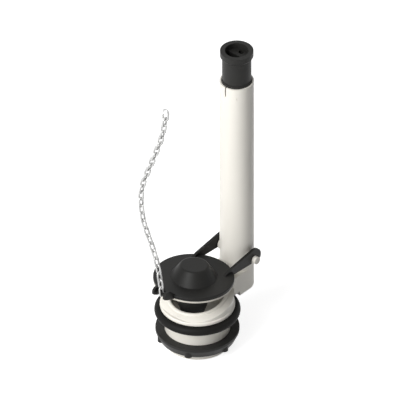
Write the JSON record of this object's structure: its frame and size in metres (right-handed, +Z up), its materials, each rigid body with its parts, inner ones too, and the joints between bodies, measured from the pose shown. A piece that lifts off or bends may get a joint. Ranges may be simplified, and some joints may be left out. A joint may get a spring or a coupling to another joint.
{
  "type": "toilet flush valve",
  "caption": "Toilet flush valve: shank with gasket and lock nut, slanted seat, hooked flapper with float cone and link chain, and an overflow tube with a sliding refill adapter.",
  "frame": {"origin": "on the drain axis at the lower end of the shank", "axes": "+Z up along the drain axis, +Y towards the overflow tube, X along the flapper's hinge"},
  "size_m": [0.0722, 0.1141, 0.2729],
  "materials": {
    "white_plastic": "satin gloss",
    "black_plastic": "satin",
    "black_rubber": "matt",
    "pale_silicone": "matt",
    "chain_steel": "bright plated"
  },
  "bodies": {
    "valve": {"valve_body": "white_plastic", "shank_gasket": "black_rubber", "tube_o_ring": "black_rubber", "overflow_tube": "white_plastic"},
    "nut": {"lock_nut": "black_plastic"},
    "adapter": {"refill_adapter": "black_plastic", "adapter_o_ring": "black_rubber"},
    "flapper": {"flapper_frame": "black_plastic", "flapper_seal": "pale_silicone", "float_cone": "black_plastic", "chain_pin": "black_plastic"},
    "chain_run_1": {"chain_link_01": "chain_steel", "chain_link_02": "chain_steel", "chain_link_03": "chain_steel", "chain_link_04": "chain_steel", "chain_link_05": "chain_steel", "chain_link_06": "chain_steel", "chain_link_07": "chain_steel"},
    "chain_run_2": {"chain_link_08": "chain_steel", "chain_link_09": "chain_steel", "chain_link_10": "chain_steel", "chain_link_11": "chain_steel", "chain_link_12": "chain_steel", "chain_link_13": "chain_steel", "chain_link_14": "chain_steel", "chain_link_15": "chain_steel"},
    "chain_run_3": {"chain_link_16": "chain_steel", "chain_link_17": "chain_steel", "chain_link_18": "chain_steel", "chain_link_19": "chain_steel", "chain_link_20": "chain_steel", "chain_link_21": "chain_steel"},
    "chain_run_4": {"chain_link_22": "chain_steel", "chain_link_23": "chain_steel", "chain_link_24": "chain_steel", "chain_link_25": "chain_steel", "chain_link_26": "chain_steel", "chain_link_27": "chain_steel"},
    "chain_hook": {"chain_clip": "chain_steel"}
  },
  "joints": [
    {"name": "nut_turn", "type": "hinge", "parent": "valve", "child": "nut", "pos_m": [0, 0, 0.01075], "axis": [0, 0, 1], "continuous": true},
    {"name": "adapter_slide", "type": "slide", "parent": "valve", "child": "adapter", "axis": [0, 0, 1], "range_m": [-0.022, 0.008]},
    {"name": "flapper_hinge", "type": "hinge", "parent": "valve", "child": "flapper", "pos_m": [0, 0.05, 0.0661], "axis": [-1, 0, 0], "range_deg": [-13.6, 42]},
    {"name": "chain_swing", "type": "hinge", "parent": "flapper", "child": "chain_run_1", "pos_m": [0, -0.04546, 0.07387], "axis": [-1, 0, 0], "range_deg": [-44, 16]},
    {"name": "chain_bend_1", "type": "hinge", "parent": "chain_run_1", "child": "chain_run_2", "pos_m": [-0.01226, -0.04546, 0.12123], "axis": [0, 1, 0], "range_deg": [-20, 20]},
    {"name": "chain_bend_2", "type": "hinge", "parent": "chain_run_2", "child": "chain_run_3", "pos_m": [-0.02128, -0.04546, 0.17601], "axis": [0, 1, 0], "range_deg": [-20, 20]},
    {"name": "chain_bend_3", "type": "hinge", "parent": "chain_run_3", "child": "chain_run_4", "pos_m": [-0.00676, -0.04546, 0.21604], "axis": [0, 1, 0], "range_deg": [-20, 20]},
    {"name": "clip_swing", "type": "hinge", "parent": "chain_run_4", "child": "chain_hook", "pos_m": [0.00376, -0.04546, 0.25716], "axis": [0, 1, 0], "range_deg": [-30, 30]}
  ],
  "couplings": [
    {"joint": "chain_swing", "follows": "flapper_hinge", "ratio": -1}
  ]
}
